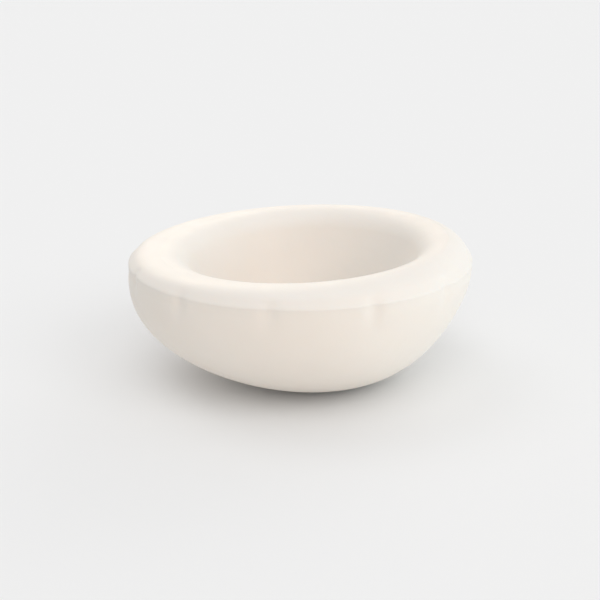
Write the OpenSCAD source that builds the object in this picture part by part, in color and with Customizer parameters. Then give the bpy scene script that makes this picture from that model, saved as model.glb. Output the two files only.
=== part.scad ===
// Shaving bowl: two glazed stoneware castings joined at a seam under the rolled rim,
// with an anti-slip pad and a vent plug under the base.
// +Z is up, the shelf is z = 0, and the origin is below the centre of the widest ring.
// The bowl looks hand-made: its base and mouth sit a little off that centre.

/* [Body] */
// Outside diameter at the widest ring
bowl_d = 120; // [114:1:126]
// Height of the widest ring
widest_z = 40.1; // [38:0.1:43]
// Diameter of the flat under the base
base_d = 33.4; // [31:0.2:36]
// Thickness of both castings
wall = 4; // [3:0.1:4.2]
// How far the base sits towards +X
base_shift = 6.1; // [0:0.1:7]
// How far the middle of the body leans towards -X
body_lean = 1.7; // [0:0.1:2]

/* [Rim] */
// Height of the upright neck from the widest ring to the seam
neck_h = 2.8; // [1:0.1:4]
// How far the rim's lower edge flares out to meet the neck
flare = 0.8; // [0:0.1:1]
// Height of the flare
flare_h = 1.4; // [0.8:0.1:2]
// Diameter of the rim's crest
crest_d = 100.4; // [97:0.1:102]
// Height of the crest above the seam
crest_rise = 5.5; // [5:0.1:7]
// How far the mouth sits towards +X
mouth_shift = 1.3; // [0:0.1:2.5]
// How much the crest rises at +X and drops at -X
mouth_tilt = 2.3; // [0:0.1:2.6]

/* [Basin] */
// How far in from its crest the rim rolls over, if it turned right down
roll_w = 12; // [10:0.5:13]
// How far down from its crest the rim rolls over, if it turned right down
roll_h = 11.5; // [10:0.5:13]
// Slope of the basin wall
wall_slope = 62; // [58:1:64]
// Radius of the curve from the basin wall to its floor
floor_round = 24; // [20:0.5:25]
// Height of the basin floor
floor_z = 11; // [10.5:0.5:13]

/* [Dents] */
// Number of dents round the seam
dents = 12; // [0:1:16]
// Depth of a dent
dent_depth = 0.8; // [0.1:0.1:1]
// Distance from a dent's middle to its steepest place
dent_half_w = 1.8; // [1.2:0.1:3]
// How far a dent runs up the rim from the seam
dent_up = 4.2; // [2:0.2:5]
// How far a dent runs down the body from the seam
dent_down = 11; // [6:0.5:14]
// Direction of the first dent, from +X
dent_turn = -99; // [-180:1:180]
// How far a dent strays from its even place, in degrees
dent_stray = 1.3; // [0:0.1:2]

/* [Foot] */
// Diameter of the pad
pad_d = 27; // [24:0.5:28]
// Diameter of the hole in the pad
pad_hole_d = 10; // [9.5:0.5:12]
// Thickness of the pad
pad_t = 1.6; // [1.2:0.1:2]
// How far the pad stands out under the base
pad_proud = 0.4; // [0.2:0.1:0.8]
// Diameter of the vent hole
vent_d = 5; // [4:0.5:6]
// Diameter of the plug's head
plug_head_d = 9; // [8:0.5:9]

/* [Hidden] */

glaze = [0.93, 0.90, 0.86];
soft_grey = [0.62, 0.61, 0.59];
$fn = 96;

bowl_r = bowl_d / 2;
base_r = base_d / 2;
crest_r = crest_d / 2;
rim_r = bowl_r - flare;
seam_z = widest_z + neck_h;
crest_z = seam_z + crest_rise;
roll_end = atan(tan(wall_slope) * roll_w / roll_h);

// How full the curves are: 1 is an ellipse, less is squarer, more is slacker.
body_fullness = 1.27;
rim_side_fullness = 0.91;
rim_top_fullness = 1.11;
// How fast the base's shift fades with height.
shift_fade = 3;

// The seam's locating ring hangs from the rim inside the shell.
ring_gap = 0.3;
ring_w = 1.8;
ring_drop = 3;

pad_gap = 0.1;
plug_gap = 0.05;
head_t = 1.2;
barb_d = vent_d + 1.4;
barb_t = 1.6;
recess_top_z = pad_t;

// The facets round the bowl gather at the dents.
facets_per_dent = 8;
gather = 0.1;
plain_facets = 96;
pitch = 360 / max(dents, 1);

// Places round the bowl are counted in dents: 0 is the first, 1 the next, and so on.
around = dents > 0
    ? [for (i = [0 : dents * facets_per_dent - 1])
        let (u = i / facets_per_dent)
        u - gather * sin(360 * u)]
    : [for (i = [0 : plain_facets - 1]) i / plain_facets];

// The dents stray from their even places in three waves round the bowl.
stray_waves = 3;
stray_start = -25;
function angle_at(place) =
    dent_turn + pitch * place + dent_stray * sin(stray_waves * pitch * place + stray_start);

// A point of a section is [r, z, shift, tilt, dent]: its distance from the section's own
// centre, its height, the centre's place along X, the share of the mouth's tilt that it
// takes and the share of the dents' depth.

function fade(distance, reach) = distance >= reach ? 0 : pow(cos(90 * distance / reach), 2);

// The body rises in a bowed curve from its flat base to the widest ring, at a = 90.
function body_point(a) =
    let (low = cos(a))
    let (z = pad_proud + (widest_z - pad_proud) * (1 - low))
    [base_r + (bowl_r - base_r) * pow(sin(a), body_fullness),
     z,
     base_shift * pow(low, shift_fade) - body_lean * sin(180 * low),
     0,
     fade(seam_z - z, dent_down)];

// The rim swells from the seam, at a = 0, to its crest, at a = 90.
function rim_point(a) =
    let (out = pow(cos(a), rim_side_fullness))
    let (rise = crest_rise * pow(sin(a), rim_top_fullness))
    [crest_r + (rim_r - crest_r) * out + flare * exp(-pow(rise / flare_h, 2)),
     seam_z + rise,
     mouth_shift * (1 - out),
     1 - out,
     fade(rise, dent_up)];

// The rim rolls over from its crest, at a = 0, to the top of the basin wall, at a = roll_end.
function roll_point(a) =
    [crest_r - roll_w * sin(a), crest_z - roll_h * (1 - cos(a)), mouth_shift, 1, 0];

// The basin curves from the foot of its straight wall, at a = wall_slope, to its floor, at a = 0.
foot_z = floor_z + floor_round * (1 - cos(wall_slope));
foot_r = roll_point(roll_end)[0] - (roll_point(roll_end)[1] - foot_z) / tan(wall_slope);
function basin_point(a) =
    [foot_r - floor_round * (sin(wall_slope) - sin(a)),
     floor_z + floor_round * (1 - cos(a)),
     mouth_shift,
     1,
     0];

// Moves point i of a section square to the section, to its left as the section runs.
function moved(section, i, by) =
    let (before = section[max(i - 1, 0)])
    let (after = section[min(i + 1, len(section) - 1)])
    let (run = [after[0] - before[0], after[1] - before[1]])
    let (step = run / norm(run))
    let (p = section[i])
    [max(p[0] - by * step[1], 0), p[1] + by * step[0], p[2], p[3], 0];

function dent_at(place) =
    let (away = (place - round(place)) * pitch * bowl_r * PI / 180)
    dents > 0 ? dent_depth * exp(-pow(away / dent_half_w, 2) / 2) : 0;

// One level ring of the bowl's surface.
function ring(p) = [for (place = around)
    let (angle = angle_at(place))
    let (r = p[0] - p[4] * dent_at(place))
    [p[2] + r * cos(angle), r * sin(angle), p[1] + p[3] * mouth_tilt * r * cos(angle) / crest_r]];

// The closed surface that runs through every ring of a section, from pole to pole.
module turned(section) {
    rings = [for (i = [1 : len(section) - 2]) ring(section[i])];
    n = len(around);
    last = len(rings) - 1;
    first_pole = [section[0][2], 0, section[0][1]];
    end_pole = [section[len(section) - 1][2], 0, section[len(section) - 1][1]];
    points = concat([for (row = rings) each row], [first_pole, end_pole]);
    sides = [for (j = [0 : last - 1], i = [0 : n - 1])
        let (k = (i + 1) % n)
        each [[j * n + i, (j + 1) * n + i, (j + 1) * n + k], [j * n + i, (j + 1) * n + k, j * n + k]]];
    first_cap = [for (i = [0 : n - 1]) [len(points) - 2, i, (i + 1) % n]];
    end_cap = [for (i = [0 : n - 1]) [len(points) - 1, last * n + (i + 1) % n, last * n + i]];
    polyhedron(points, concat(sides, first_cap, end_cap), convexity = 6);
}

// The lower casting: the body from its base to the seam, open at the top.
module outer_shell() {
    outside = concat(
        [for (a = [0, 8, 14, 20, 27, 34, 41, 48, 54, 60, 65, 70, 74, 78, 82, 86]) body_point(a)],
        [[bowl_r, widest_z, 0, 0, fade(neck_h, dent_down)]],
        [[bowl_r, seam_z, 0, 0, 1]]);
    last = len(outside) - 1;
    inside = [for (i = [last - 1 : -2 : 2]) moved(outside, i, wall)];
    seam_inner = [bowl_r - wall, seam_z, 0, 0, 0];
    base_pole = [0, pad_proud, base_shift, 0, 0];
    inner_pole = [0, pad_proud + wall, base_shift, 0, 0];
    color(glaze) difference() {
        turned(concat([base_pole], outside, [seam_inner], inside, [inner_pole]));
        translate([base_shift, 0, -1]) cylinder(d = pad_d + 2 * pad_gap, h = recess_top_z + 1);
        translate([base_shift, 0, -1]) cylinder(d = vent_d, h = wall + pad_proud + 2);
    }
}

// The upper casting: the rolled rim and the basin, seated on the shell at the seam.
module rim_basin() {
    solid_edge = [for (a = [0, 6, 12, 18, 25, 33, 42, 51]) rim_point(a)];
    walled = concat(
        [for (a = [60 : 10 : 90]) rim_point(a)],
        [for (i = [1 : 5]) roll_point(roll_end * i / 5)],
        [for (i = [0 : 6]) basin_point(wall_slope * (1 - i / 6))]);
    back = [for (i = [len(walled) - 1 : -1 : 0]) moved(walled, i, wall)];
    ring_r = bowl_r - wall - ring_gap;
    ring_bottom = seam_z - ring_drop;
    seat = [
        [ring_r - ring_w, ring_bottom, 0, 0, 0],
        [ring_r, ring_bottom, 0, 0, 0],
        [ring_r, seam_z, 0, 0, 0],
    ];
    floor_pole = [0, floor_z, mouth_shift, 0, 0];
    under_pole = [0, floor_z - wall, mouth_shift, 0, 0];
    color(glaze) turned(concat([under_pole], back, seat, solid_edge, walled, [floor_pole]));
}

// The anti-slip pad: a flat ring in the recess under the base, with rounded edges below.
module foot_pad() {
    edge = 0.3;
    color(soft_grey) translate([base_shift, 0, 0]) rotate_extrude() polygon([
        [pad_hole_d / 2, pad_t],
        [pad_hole_d / 2, edge],
        [pad_hole_d / 2 + edge, 0],
        [pad_d / 2 - edge, 0],
        [pad_d / 2, edge],
        [pad_d / 2, pad_t],
    ]);
}

// The vent plug: a flat head in the recess, a stem through the base and a barb above it.
module vent_plug() {
    head_z = recess_top_z - head_t;
    stem_r = vent_d / 2 - plug_gap;
    inner_z = pad_proud + wall + plug_gap;
    color(soft_grey) translate([base_shift, 0, 0]) rotate_extrude() polygon([
        [0, head_z],
        [plug_head_d / 2, head_z],
        [plug_head_d / 2, recess_top_z],
        [stem_r, recess_top_z],
        [stem_r, inner_z],
        [barb_d / 2, inner_z],
        [stem_r - 0.6, inner_z + barb_t],
        [0, inner_z + barb_t],
    ]);
}

outer_shell();
rim_basin();
foot_pad();
vent_plug();
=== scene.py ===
"""The looks of the shaving bowl, built round its CAD frame. Metres, +Z up."""

import math

import bpy
from mathutils import Matrix, Vector


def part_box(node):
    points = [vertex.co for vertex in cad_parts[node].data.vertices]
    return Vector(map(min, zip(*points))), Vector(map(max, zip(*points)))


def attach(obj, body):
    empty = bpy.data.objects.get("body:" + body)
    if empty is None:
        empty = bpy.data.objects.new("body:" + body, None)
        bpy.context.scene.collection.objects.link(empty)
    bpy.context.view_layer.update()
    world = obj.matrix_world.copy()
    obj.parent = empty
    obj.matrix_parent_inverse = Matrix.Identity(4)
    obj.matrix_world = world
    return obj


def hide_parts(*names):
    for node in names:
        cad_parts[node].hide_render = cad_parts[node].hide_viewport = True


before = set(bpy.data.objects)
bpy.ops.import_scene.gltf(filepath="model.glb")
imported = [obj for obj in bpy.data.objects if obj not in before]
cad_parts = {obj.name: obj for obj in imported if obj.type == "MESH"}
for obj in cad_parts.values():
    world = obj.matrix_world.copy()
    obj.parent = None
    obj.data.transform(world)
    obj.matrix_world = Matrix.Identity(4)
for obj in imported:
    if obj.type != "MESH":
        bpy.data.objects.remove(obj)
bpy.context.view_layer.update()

MM = 0.001
QUARTER = math.pi / 2
BODY = "root"

# ---------------------------------------------------------------- sizes from the frame

shell_low, shell_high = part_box("outer_shell")
_, rim_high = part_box("rim_basin")
pad_low, pad_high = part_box("foot_pad")
plug_low, plug_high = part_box("vent_plug")

# The smooth skin swings wider than the CAD's flat facets, so it is this much smaller.
INSET = 0.04 * MM
BOWL_R = (shell_high.y - shell_low.y) / 2 - INSET
BASE_Z = shell_low.z
SEAM_Z = shell_high.z
BASE_X = (pad_low.x + pad_high.x) / 2
PAD_R = (pad_high.x - pad_low.x) / 2
HEAD_R = (plug_high.x - plug_low.x) / 2

# The design's own values, as the CAD source has them.
WALL = 4 * MM
NECK_H = 2.8 * MM
WIDEST_Z = SEAM_Z - NECK_H
BASE_R = 16.7 * MM
BODY_LEAN = 1.7 * MM
CREST_R = 50.2 * MM
MOUTH_SHIFT = 1.3 * MM
MOUTH_TILT = 2.3 * MM
CREST_Z = rim_high.z - MOUTH_TILT
ROLL_W = 12 * MM
ROLL_H = 11.5 * MM
WALL_SLOPE = math.radians(62)
FLOOR_Z = 11 * MM
FLOOR_ROUND = 24 * MM
ROLL_END = math.atan(math.tan(WALL_SLOPE) * ROLL_W / ROLL_H)
FLARE = 0.8 * MM
FLARE_H = 1.4 * MM
BODY_FULLNESS = 1.27
RIM_SIDE_FULLNESS = 0.91
RIM_TOP_FULLNESS = 1.11
SHIFT_FADE = 3

VENT_R = 2.5 * MM
PAD_HOLE_R = 5 * MM
PAD_GAP = 0.1 * MM
PLUG_GAP = 0.05 * MM
PAD_EDGE = 0.3 * MM
BARB_R = VENT_R + 0.7 * MM
BARB_TIP_R = VENT_R - PLUG_GAP - 0.6 * MM
SEAT_GAP = 0.3 * MM
SEAT_W = 1.8 * MM
SEAT_DROP = 3 * MM

DENTS = 12
DENT_DEPTH = 0.8 * MM
DENT_HALF_W = 1.8 * MM
DENT_UP = 4.2 * MM
DENT_DOWN = 11 * MM
DENT_TURN = math.radians(-99)
DENT_STRAY = math.radians(1.3)
STRAY_WAVES = 3
STRAY_START = math.radians(-25)
PITCH = 2 * math.pi / DENTS

# Details of the pad and the plug that the CAD source leaves out.
GROOVES = (7.5 * MM, 9.3 * MM, 11.1 * MM)
GROOVE_HALF_W = 0.4 * MM
GROOVE_DEPTH = 0.2 * MM
HEAD_EDGE = 0.3 * MM
HEAD_TOP_EDGE = 0.1 * MM
DIMPLE_R = 0.6 * HEAD_R
DIMPLE_DEPTH = 0.3 * MM
DIMPLE_START = 0.1

# The rim is solid from the seam to EDGE_END and hollow from HOLLOW_START on, as angles.
EDGE_END = math.radians(58)
HOLLOW_START = math.radians(60)

# How finely the surfaces are cut: segments round an axis, and points along a curve.
SEGMENTS = DENTS * 40
PAD_SEGMENTS = 180
PLUG_SEGMENTS = 96
BODY_POINTS = 70
FOOT_POINTS = 3
NECK_POINTS = 12
EDGE_POINTS = 42
CREST_POINTS = 16
ROLL_POINTS = 28
WALL_POINTS = 8
BASIN_POINTS = 30
GROOVE_POINTS = 9
DIMPLE_POINTS = 8
CORNER_POINTS = 5
SHARP_ANGLE = math.radians(40)


# ---------------------------------------------------------------- the bowl's surface

def spread(low, high, count):
    """count values from low to high."""
    return [low + (high - low) * i / (count - 1) for i in range(count)]


def point(r, z, shift=0.0, tilt=0.0, dent=0.0):
    """A point of a section: radius, height, the centre's place along X, and the shares of
    the mouth's tilt and of the dents' depth that it takes."""
    return (r, z, shift, tilt, dent)


def fade(distance, reach):
    """1 at no distance, falling smoothly to 0 at the reach."""
    return 0.0 if distance >= reach else math.cos(QUARTER * distance / reach) ** 2


def body_point(angle):
    """The body from its flat base, at 0, to the widest ring, at a quarter turn."""
    low = math.cos(angle)
    z = BASE_Z + (WIDEST_Z - BASE_Z) * (1 - low)
    r = BASE_R + (BOWL_R - BASE_R) * math.sin(angle) ** BODY_FULLNESS
    shift = BASE_X * max(low, 0) ** SHIFT_FADE - BODY_LEAN * math.sin(math.pi * low)
    return point(r, z, shift, 0, fade(SEAM_Z - z, DENT_DOWN))


def rim_point(angle):
    """The rim from the seam, at 0, to its crest, at a quarter turn."""
    out = max(math.cos(angle), 0) ** RIM_SIDE_FULLNESS
    rise = (CREST_Z - SEAM_Z) * math.sin(angle) ** RIM_TOP_FULLNESS
    r = CREST_R + (BOWL_R - FLARE - CREST_R) * out + FLARE * math.exp(-(rise / FLARE_H) ** 2)
    return point(r, SEAM_Z + rise, MOUTH_SHIFT * (1 - out), 1 - out, fade(rise, DENT_UP))


def roll_point(angle):
    """The rim from its crest, at 0, over to where the basin wall has its full slope."""
    r = CREST_R - ROLL_W * math.sin(angle)
    return point(r, CREST_Z - ROLL_H * (1 - math.cos(angle)), MOUTH_SHIFT, 1)


def basin_point(slope):
    """The basin from the foot of its straight wall, at full slope, to its floor, at 0."""
    wall_top = roll_point(ROLL_END)
    foot_z = FLOOR_Z + FLOOR_ROUND * (1 - math.cos(WALL_SLOPE))
    foot_r = wall_top[0] - (wall_top[1] - foot_z) / math.tan(WALL_SLOPE)
    flat_r = foot_r - FLOOR_ROUND * math.sin(WALL_SLOPE)
    r = flat_r + FLOOR_ROUND * math.sin(slope)
    return point(r, FLOOR_Z + FLOOR_ROUND * (1 - math.cos(slope)), MOUTH_SHIFT, 1)


def moved(section, i, by):
    """Point i of a section, moved square to it, to its left as the section runs."""
    before, after = section[max(i - 1, 0)], section[min(i + 1, len(section) - 1)]
    run = Vector((after[0] - before[0], after[1] - before[1])).normalized()
    r, z, shift, tilt, _ = section[i]
    return point(max(r - by * run.y, 0), z + by * run.x, shift, tilt)


# Places round the bowl are counted in dents: 0 is the first, 1 the next, and so on.
def angle_at(place):
    stray = DENT_STRAY * math.sin(STRAY_WAVES * PITCH * place + STRAY_START)
    return DENT_TURN + PITCH * place + stray


def dent_at(place):
    away = (place - round(place)) * PITCH * BOWL_R
    return DENT_DEPTH * math.exp(-(away / DENT_HALF_W) ** 2 / 2)


def ring(p, count):
    """The level ring that a section's point sweeps."""
    r, z, shift, tilt, dent = p
    corners = []
    for i in range(count):
        place = DENTS * i / count
        angle = angle_at(place)
        here = r - dent * dent_at(place)
        x = here * math.cos(angle)
        corners.append((shift + x, here * math.sin(angle), z + tilt * MOUTH_TILT * x / CREST_R))
    return corners


def band_faces(rows, count, closed):
    """The faces between each ring and the next, and from the last to the first if closed."""
    faces = []
    for row in range(rows if closed else rows - 1):
        low, high = row * count, (row + 1) % rows * count
        for i in range(count):
            n = (i + 1) % count
            faces.append((low + i, low + n, high + n, high + i))
    return faces


def pole_faces(pole, row, count):
    """The faces between a pole and its ring. Those at the first ring are turned over."""
    faces = []
    for i in range(count):
        edge = (row * count + i, row * count + (i + 1) % count)
        faces.append((pole, *(reversed(edge) if row == 0 else edge)))
    return faces


def new_object(name, verts, faces):
    mesh = bpy.data.meshes.new(name)
    mesh.from_pydata(verts, [], faces)
    mesh.validate()
    thing = bpy.data.objects.new(name, mesh)
    bpy.context.scene.collection.objects.link(thing)
    return thing


def turned(name, section, count, closed):
    """A solid swept round by a section, which is a loop or runs from pole to pole."""
    body = section if closed else section[1:-1]
    verts = [place for p in body for place in ring(p, count)]
    faces = band_faces(len(body), count, closed)
    if not closed:
        for (_, z, shift, _, _), row in ((section[0], 0), (section[-1], len(body) - 1)):
            verts.append((shift, 0, z))
            faces += pole_faces(len(verts) - 1, row, count)
    piece = new_object(name, verts, faces)
    piece.data.shade_smooth()
    piece.data.set_sharp_from_angle(angle=SHARP_ANGLE)
    return piece


def rounded(corner, into, out_of, radius):
    """The arc that rounds a section's corner between two directions in (r, z)."""
    into, out_of = Vector(into).normalized(), Vector(out_of).normalized()
    start = Vector(corner) - into * radius
    end = Vector(corner) + out_of * radius
    arc = []
    for t in spread(0, 1, CORNER_POINTS):
        here = start * (1 - t) ** 2 + Vector(corner) * 2 * t * (1 - t) + end * t ** 2
        arc.append(point(here.x, here.y))
    return arc


def shifted(points, shift):
    return [point(r, z, shift, tilt, dent) for r, z, _, tilt, dent in points]


# ---------------------------------------------------------------- materials

# The middle of the noise's range, which is spread out to the whole of low to high.
NOISE_LOW = 0.3
NOISE_HIGH = 0.7

# The sockets of a Mix node that mixes colours. They share their names with others of the node.
MIX_SHARE = 0
MIX_FIRST = 6
MIX_SECOND = 7
MIX_RESULT = 2

# The clay is bare up to CLAY_TOP and fully glazed from GLAZE_START up.
CLAY_TOP = 0.55 * MM
GLAZE_START = 0.8 * MM

BODY_CREAM = (0.805, 0.75, 0.685)
BODY_THIN_CREAM = (0.79, 0.735, 0.67)
RIM_CREAM = (0.815, 0.755, 0.69)
RIM_THIN_CREAM = (0.80, 0.74, 0.675)
CLAY = (0.62, 0.52, 0.42)
PALE_CLAY = (0.72, 0.62, 0.52)
PAD_GREY = (0.30, 0.29, 0.27)
PAD_DUST = (0.36, 0.35, 0.33)
PLUG_GREY = (0.40, 0.39, 0.37)
PLUG_DUST = (0.46, 0.45, 0.43)
PAPER = (0.851, 0.851, 0.851)


def new_material(name):
    material = bpy.data.materials.new(name)
    material.use_nodes = True
    return material, material.node_tree.links, material.node_tree.nodes["Principled BSDF"]


def noise(material, scale, detail=2, low=0, high=1):
    """Object-space noise as a value from low to high; scale is in cycles a metre."""
    nodes, links = material.node_tree.nodes, material.node_tree.links
    coords = nodes.new("ShaderNodeTexCoord")
    texture = nodes.new("ShaderNodeTexNoise")
    texture.inputs["Scale"].default_value = scale
    texture.inputs["Detail"].default_value = detail
    spread_out = nodes.new("ShaderNodeMapRange")
    spread_out.inputs["From Min"].default_value = NOISE_LOW
    spread_out.inputs["From Max"].default_value = NOISE_HIGH
    spread_out.inputs["To Min"].default_value = low
    spread_out.inputs["To Max"].default_value = high
    links.new(coords.outputs["Object"], texture.inputs["Vector"])
    links.new(texture.outputs["Fac"], spread_out.inputs["Value"])
    return spread_out.outputs["Result"]


def blend(material, share, first, second):
    """A colour that goes from first to second as share goes from 0 to 1."""
    mix = material.node_tree.nodes.new("ShaderNodeMix")
    mix.data_type = "RGBA"
    for index, value in ((MIX_SHARE, share), (MIX_FIRST, first), (MIX_SECOND, second)):
        if isinstance(value, tuple):
            mix.inputs[index].default_value = (*value, 1)
        else:
            material.node_tree.links.new(value, mix.inputs[index])
    return mix.outputs[MIX_RESULT]


def above(material, low, high):
    """0 below the height low and 1 above the height high."""
    nodes, links = material.node_tree.nodes, material.node_tree.links
    coords = nodes.new("ShaderNodeTexCoord")
    split = nodes.new("ShaderNodeSeparateXYZ")
    step = nodes.new("ShaderNodeMapRange")
    step.inputs["From Min"].default_value = low
    step.inputs["From Max"].default_value = high
    links.new(coords.outputs["Object"], split.inputs["Vector"])
    links.new(split.outputs["Z"], step.inputs["Value"])
    return step.outputs["Result"]


def bumped(material, shader, heights):
    """Adds layers of bump, each a height from 0 to 1 and its depth in metres."""
    nodes, links = material.node_tree.nodes, material.node_tree.links
    normal = None
    for height, depth in heights:
        bump = nodes.new("ShaderNodeBump")
        bump.inputs["Distance"].default_value = depth
        links.new(height, bump.inputs["Height"])
        if normal:
            links.new(normal, bump.inputs["Normal"])
        normal = bump.outputs["Normal"]
    links.new(normal, shader.inputs["Normal"])


def glaze(name, colour, thin_colour, bare_clay=False):
    """Satin cream glaze: it pools and thins in soft clouds, and has a fine eggshell grain."""
    material, links, shader = new_material(name)
    clouds = noise(material, scale=45, detail=3)
    surface = blend(material, clouds, colour, thin_colour)
    roughness = noise(material, scale=160, low=0.48, high=0.58)
    if bare_clay:
        glazed = above(material, CLAY_TOP, GLAZE_START)
        grit = noise(material, scale=1400, detail=4)
        clay = blend(material, grit, CLAY, PALE_CLAY)
        surface = blend(material, glazed, clay, surface)
    links.new(surface, shader.inputs["Base Color"])
    links.new(roughness, shader.inputs["Roughness"])
    waves = noise(material, scale=130)
    eggshell = noise(material, scale=1100)
    bumped(material, shader, ((waves, 0.04 * MM), (eggshell, 0.004 * MM)))
    shader.inputs["Subsurface Weight"].default_value = 0.12
    shader.inputs["Subsurface Radius"].default_value = (1, 0.7, 0.5)
    shader.inputs["Subsurface Scale"].default_value = 1.5 * MM
    return material


def silicone(name, colour, dusty_colour):
    """Matt moulded silicone, a little dusty in soft patches."""
    material, links, shader = new_material(name)
    dust = noise(material, scale=220, detail=4)
    roughness = noise(material, scale=500, low=0.6, high=0.75)
    grain = noise(material, scale=2500)
    links.new(blend(material, dust, colour, dusty_colour), shader.inputs["Base Color"])
    links.new(roughness, shader.inputs["Roughness"])
    bumped(material, shader, ((grain, 0.01 * MM),))
    return material


# ---------------------------------------------------------------- pieces

def finish_piece(piece, node, material):
    piece.data.materials.append(material)
    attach(piece, BODY)
    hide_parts(node)
    return piece


def make_shell():
    """The lower casting, with its recess for the pad and its vent hole."""
    recess_r = PAD_R + PAD_GAP
    neck = spread(WIDEST_Z, SEAM_Z, NECK_POINTS)[1:]
    skin = [body_point(a) for a in spread(0, QUARTER, BODY_POINTS)]
    skin += [point(BOWL_R, z, dent=fade(SEAM_Z - z, DENT_DOWN)) for z in neck]
    # The inner wall follows every second point of the skin, down to the flat floor inside,
    # and leaves out those at the skin's foot.
    inner = [moved(skin, i, WALL) for i in range(len(skin) - 1, FOOT_POINTS, -2)]
    under = [
        point(VENT_R, BASE_Z + WALL),
        point(VENT_R, pad_high.z),
        point(recess_r, pad_high.z),
        point(recess_r, BASE_Z),
    ]
    section = shifted(under, BASE_X) + skin + inner
    return turned("body_casting", section, SEGMENTS, closed=True)


def basin_wall():
    """The straight part of the basin's wall, between the roll and the curve to the floor."""
    top, foot = roll_point(ROLL_END), basin_point(WALL_SLOPE)
    shares = spread(0, 1, WALL_POINTS)[1:-1]
    return [tuple(u * (1 - t) + v * t for u, v in zip(top, foot)) for t in shares]


def make_rim():
    """The upper casting: the rolled rim and the basin, with the ring that seats it."""
    edge = [rim_point(a) for a in spread(0, EDGE_END, EDGE_POINTS)]
    skin = [rim_point(a) for a in spread(HOLLOW_START, QUARTER, CREST_POINTS)]
    skin += [roll_point(a) for a in spread(0, ROLL_END, ROLL_POINTS)[1:]]
    skin += basin_wall()
    skin += [basin_point(a) for a in spread(WALL_SLOPE, 0, BASIN_POINTS)]
    back = [moved(skin, i, WALL) for i in range(len(skin) - 1, -1, -2)]
    seat_r = BOWL_R - WALL - SEAT_GAP
    seat_z = SEAM_Z - SEAT_DROP
    seat = [point(seat_r - SEAT_W, seat_z), point(seat_r, seat_z), point(seat_r, SEAM_Z)]
    floor = point(0, FLOOR_Z, MOUTH_SHIFT, 1)
    under = point(0, FLOOR_Z - WALL, MOUTH_SHIFT, 1)
    section = [under] + back + seat + edge + skin + [floor]
    return turned("rim_and_basin", section, SEGMENTS, closed=False)


def make_pad():
    """The soft pad under the base, with rounded edges and grip grooves."""
    section = [point(PAD_HOLE_R, pad_high.z)]
    section += rounded((PAD_HOLE_R, 0), (0, -1), (1, 0), PAD_EDGE)
    for middle in GROOVES:
        for t in spread(-1, 1, GROOVE_POINTS):
            depth = GROOVE_DEPTH * math.cos(t * QUARTER) ** 2
            section.append(point(middle + t * GROOVE_HALF_W, depth))
    section += rounded((PAD_R, 0), (1, 0), (0, 1), PAD_EDGE)
    section += [point(PAD_R, pad_high.z)]
    return turned("grip_pad", shifted(section, BASE_X), PAD_SEGMENTS, closed=True)


def make_plug():
    """The vent plug: a head with a shallow dimple, a stem and a barb."""
    stem_r = VENT_R - PLUG_GAP
    head_top = pad_high.z
    barb_z = BASE_Z + WALL + PLUG_GAP
    section = [point(0, plug_low.z + DIMPLE_DEPTH)]
    for t in spread(DIMPLE_START, 1, DIMPLE_POINTS):
        depth = DIMPLE_DEPTH * math.cos(t * QUARTER) ** 2
        section.append(point(DIMPLE_R * t, plug_low.z + depth))
    section += rounded((HEAD_R, plug_low.z), (1, 0), (0, 1), HEAD_EDGE)
    section += rounded((HEAD_R, head_top), (0, 1), (-1, 0), HEAD_TOP_EDGE)
    section += [point(stem_r, head_top), point(stem_r, barb_z), point(BARB_R, barb_z)]
    section += [point(BARB_TIP_R, plug_high.z), point(0, plug_high.z)]
    return turned("vent_stopper", shifted(section, BASE_X), PLUG_SEGMENTS, closed=False)


body_glaze = glaze("body_glaze", BODY_CREAM, BODY_THIN_CREAM, bare_clay=True)
rim_glaze = glaze("rim_glaze", RIM_CREAM, RIM_THIN_CREAM)
pad_silicone = silicone("pad_silicone", PAD_GREY, PAD_DUST)
plug_silicone = silicone("plug_silicone", PLUG_GREY, PLUG_DUST)

PIECES = [
    finish_piece(make_shell(), "outer_shell", body_glaze),
    finish_piece(make_rim(), "rim_basin", rim_glaze),
    finish_piece(make_pad(), "foot_pad", pad_silicone),
    finish_piece(make_plug(), "vent_plug", plug_silicone),
]


# ---------------------------------------------------------------- floor, light, camera

# The floor is a square of twice this, in metres. The world lights it and the bowl alike.
FLOOR_HALF = 6
WORLD_STRENGTH = 0.71

WHITE = (1, 1, 1)
COOL_TOP = (0.66, 0.85, 1)
COOL_SIDE = (0.61, 0.86, 1)
WARM_FRONT = (1, 0.81, 0.69)
WARM_BELOW = (1, 0.92, 0.82)
WARM_BACK = (1, 0.86, 0.7)

# The camera looks along +Y and down, at a place just beside the bowl's own axis.
CAMERA_DISTANCE = 7 * BOWL_R
CAMERA_ELEVATION = math.radians(18.56)
CAMERA_ROLL = math.radians(0.526)
CAMERA_TARGET = Vector((-0.0049, 0, 0.4427)) * BOWL_R
LENS_MM = 70.75
SENSOR_MM = 36


def make_floor():
    far = FLOOR_HALF
    corners = [(-far, -far, 0), (far, -far, 0), (far, far, 0), (-far, far, 0)]
    floor = new_object("floor", corners, [(0, 1, 2, 3)])
    material, _, shader = new_material("floor_paper")
    shader.inputs["Base Color"].default_value = (*PAPER, 1)
    shader.inputs["Roughness"].default_value = 1
    shader.inputs["Specular IOR Level"].default_value = 0
    floor.data.materials.append(material)
    return floor


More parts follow.
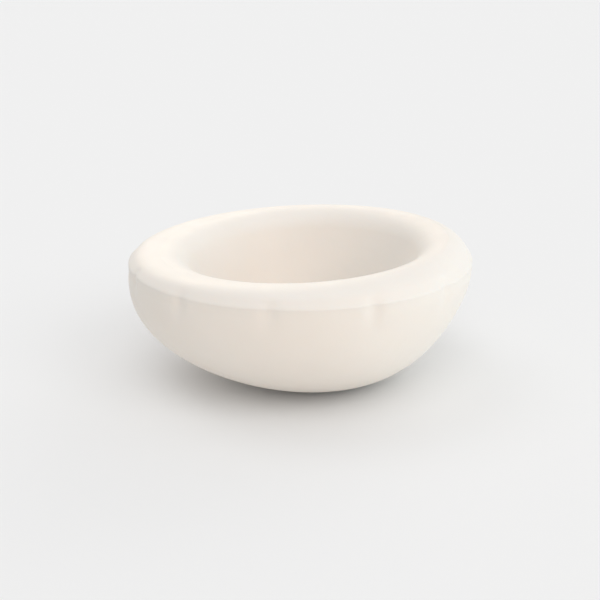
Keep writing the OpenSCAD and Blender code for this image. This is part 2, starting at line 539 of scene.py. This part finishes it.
def make_sun(name, elevation, azimuth, strength, width, on, colour=WHITE):
    """A soft light, width across, from a direction, all in degrees: azimuth 0 is +X and 90
    is +Y. It lights only the collection on, and only the bowl casts its shadows."""
    up, round_z = math.radians(elevation), math.radians(azimuth)
    level = math.cos(up)
    towards = Vector((level * math.cos(round_z), level * math.sin(round_z), math.sin(up)))
    data = bpy.data.lights.new(name, "SUN")
    data.energy = strength
    data.angle = math.radians(width)
    data.color = colour
    sun = bpy.data.objects.new(name, data)
    sun.rotation_euler = towards.to_track_quat("Z", "Y").to_euler()
    sun.light_linking.receiver_collection = on
    sun.light_linking.blocker_collection = BOWL_ONLY
    bpy.context.scene.collection.objects.link(sun)
    return sun


def grouped(name, pieces):
    group = bpy.data.collections.new(name)
    for piece in pieces:
        group.objects.link(piece)
    return group


def make_world():
    world = bpy.data.worlds.new("studio")
    world.use_nodes = True
    background = world.node_tree.nodes["Background"]
    background.inputs["Color"].default_value = (*WHITE, 1)
    background.inputs["Strength"].default_value = WORLD_STRENGTH
    bpy.context.scene.world = world


def make_camera():
    """A long lens a little above the rim, turned slightly clockwise."""
    data = bpy.data.cameras.new("camera")
    data.sensor_width = SENSOR_MM
    data.lens = LENS_MM
    camera = bpy.data.objects.new("camera", data)
    forward = Vector((0, math.cos(CAMERA_ELEVATION), -math.sin(CAMERA_ELEVATION)))
    aim = (-forward).to_track_quat("Z", "Y").to_matrix()
    turn = aim @ Matrix.Rotation(-CAMERA_ROLL, 3, "Z")
    place = Matrix.Translation(CAMERA_TARGET - forward * CAMERA_DISTANCE)
    camera.matrix_world = place @ turn.to_4x4()
    bpy.context.scene.collection.objects.link(camera)
    bpy.context.scene.camera = camera


FLOOR_ONLY = grouped("floor_only", [make_floor()])
BOWL_ONLY = grouped("bowl_only", PIECES)

# The floor's lights and the bowl's are set apart, as with cards and flags in a studio. Each
# has its elevation, azimuth, strength and width.
make_world()
make_sun("floor_front_low", 35, 270, 0.32, 36, FLOOR_ONLY)
make_sun("floor_front_high", 60, 270, 0.27, 34, FLOOR_ONLY)
make_sun("floor_right", 35, 315, 0.45, 36, FLOOR_ONLY)
make_sun("floor_window", 14, 60, 0.5, 50, FLOOR_ONLY)
make_sun("floor_back", 60, 150, 0.22, 34, FLOOR_ONLY)
make_sun("bowl_top", 90, 0, 0.77, 34, BOWL_ONLY, COOL_TOP)
make_sun("bowl_right", 5, 0, 0.95, 30, BOWL_ONLY, COOL_SIDE)
make_sun("bowl_front", 30, 305, 0.69, 30, BOWL_ONLY, WARM_FRONT)
# The light from below stops at the bowl, or it would go on to light the contact shadow.
bounce = make_sun("bowl_bounce", -30, 290, 0.24, 40, BOWL_ONLY, WARM_BELOW)
bounce.data.cycles.max_bounces = 0
make_sun("bowl_back", 30, 100, 0.66, 30, BOWL_ONLY, WARM_BACK)
make_camera()
bpy.context.scene.view_settings.view_transform = "Standard"
